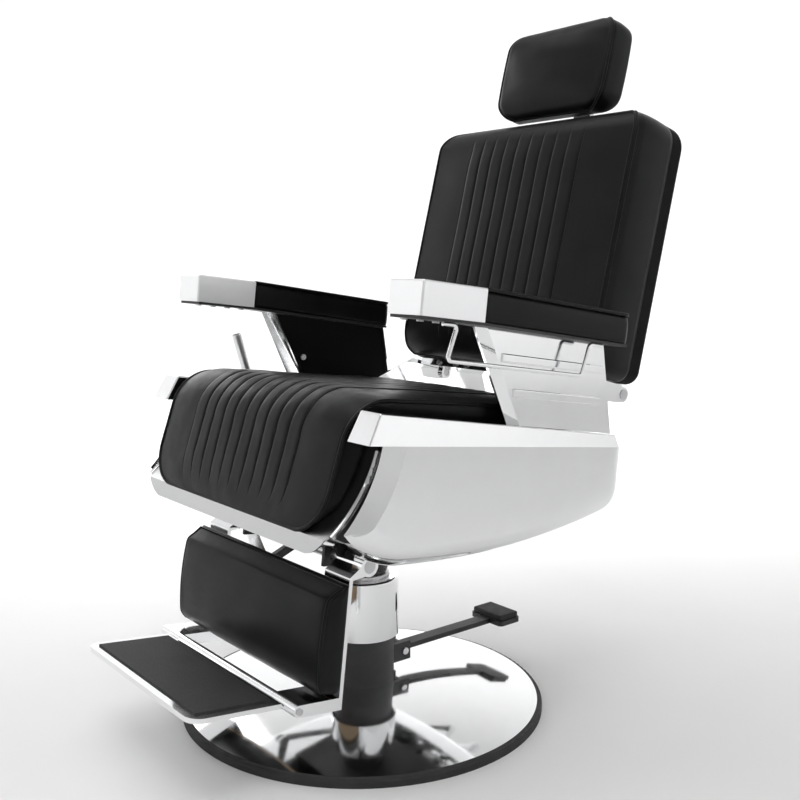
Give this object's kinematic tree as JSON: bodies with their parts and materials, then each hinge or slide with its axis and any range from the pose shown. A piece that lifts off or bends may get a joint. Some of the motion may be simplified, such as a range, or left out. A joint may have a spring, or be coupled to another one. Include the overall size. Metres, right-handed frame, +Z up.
{
  "type": "hairdressing chair",
  "caption": "Hydraulic hairdressing chair with chrome tub, channelled black upholstery, padded arms, reclining back, linked leg rest, folding footplate and sliding headrest.",
  "frame": {"origin": "on the floor under the column axis", "axes": "+Z up, -Y the way the sitter faces, +X the sitter's left"},
  "size_m": [0.66, 0.9568, 1.164],
  "materials": {
    "chrome": "mirror polished plate",
    "black_leather": "semi-gloss leatherette",
    "black_enamel": "satin black enamel",
    "black_panel": "matt, finely grained",
    "board": "raw plywood",
    "rubber": "matt",
    "steel": "turned",
    "iron": "painted casting",
    "bronze": "turned"
  },
  "bodies": {
    "base": {"base_plate": "black_enamel", "base_cover": "chrome", "base_ring": "rubber", "pump_body": "iron", "pump_sleeve": "chrome", "pump_gland": "steel", "pump_bolts": "steel", "pedal_pin": "steel"},
    "pedal": {"pedal_lever": "black_enamel", "pedal_pad": "rubber"},
    "ram": {"ram": "chrome", "piston_head": "steel"},
    "seat": {"swivel_mount": "black_enamel", "swivel_bush": "bronze", "frame_plate_left": "black_enamel", "frame_plate_right": "black_enamel", "cross_tube_front": "black_enamel", "cross_tube_rear": "black_enamel", "seat_shell": "chrome", "rim_left": "chrome", "rim_right": "chrome", "rim_rear": "chrome", "seat_pan": "chrome", "seat_cushion": "black_leather", "arm_panel_left": "chrome", "arm_panel_right": "chrome", "arm_inner_left": "black_panel", "arm_inner_right": "black_panel", "arm_rail_left": "black_enamel", "arm_rail_right": "black_enamel", "arm_cap_left": "chrome", "arm_cap_right": "chrome", "arm_pad_left": "black_leather", "arm_pad_right": "black_leather", "arm_bolts": "steel", "towel_bar": "chrome", "back_bracket_left": "chrome", "back_bracket_right": "chrome", "bracket_collars": "black_enamel", "shell_clips": "black_panel", "strut_cylinder": "black_enamel"},
    "back": {"back_crossbar": "chrome", "hinge_pins": "steel", "back_shell": "black_panel", "back_cushion": "black_leather", "back_bolts": "steel", "headrest_sleeve": "black_enamel"},
    "headrest": {"headrest_post": "chrome", "headrest_pad": "black_leather"},
    "legrest": {"legrest_shaft": "steel", "legrest_arm_left": "chrome", "legrest_arm_right": "chrome", "legrest_board": "board", "legrest_pad": "black_leather", "footplate_pin": "steel"},
    "footplate": {"footplate": "chrome", "foot_mat": "rubber"},
    "link": {"link_rod": "black_enamel"},
    "strut_rod": {"strut_rod": "chrome"},
    "lever": {"recline_lever": "chrome"}
  },
  "joints": [
    {"name": "lift", "type": "slide", "parent": "base", "child": "ram", "axis": [0, 0, 1], "range_m": [0, 0.15]},
    {"name": "swivel", "type": "hinge", "parent": "ram", "child": "seat", "pos_m": [0, 0, 0.25], "axis": [0, 0, 1], "continuous": true},
    {"name": "pedal", "type": "hinge", "parent": "base", "child": "pedal", "pos_m": [0, 0.072, 0.072], "axis": [-1, 0, 0], "range_deg": [0, 12], "stiffness_Nm_per_rad": 25, "springref_deg": -14.32},
    {"name": "back_recline", "type": "hinge", "parent": "seat", "child": "back", "pos_m": [0, 0.37951, 0.50974], "axis": [-1, 0, 0], "range_deg": [0, 50]},
    {"name": "headrest", "type": "slide", "parent": "back", "child": "headrest", "axis": [0, 0.2504, 0.9681], "range_m": [0, 0.1]},
    {"name": "legrest", "type": "hinge", "parent": "seat", "child": "legrest", "pos_m": [0, -0.13759, 0.30349], "axis": [-1, 0, 0], "range_deg": [0, 50]},
    {"name": "footplate", "type": "hinge", "parent": "legrest", "child": "footplate", "pos_m": [0, -0.25986, 0.1227], "axis": [-1, 0, 0], "range_deg": [0, 60]},
    {"name": "link", "type": "hinge", "parent": "back", "child": "link", "pos_m": [-0.146, 0.40763, 0.42425], "axis": [-1, 0, 0], "range_deg": [-50, 0]},
    {"name": "strut_slide", "type": "slide", "parent": "seat", "child": "strut_rod", "axis": [0, -0.9455, -0.3256], "range_m": [0, 0.05917]},
    {"name": "lever", "type": "hinge", "parent": "seat", "child": "lever", "pos_m": [-0.319, 0.00724, 0.42016], "axis": [-1, 0, 0], "range_deg": [0, 25], "stiffness_Nm_per_rad": 4, "springref_deg": -11.46}
  ],
  "couplings": [
    {"joint": "legrest", "follows": "back_recline", "ratio": 1},
    {"joint": "link", "follows": "back_recline", "ratio": -1},
    {"joint": "strut_slide", "follows": "back_recline", "m_per_rad": 0.067799}
  ]
}
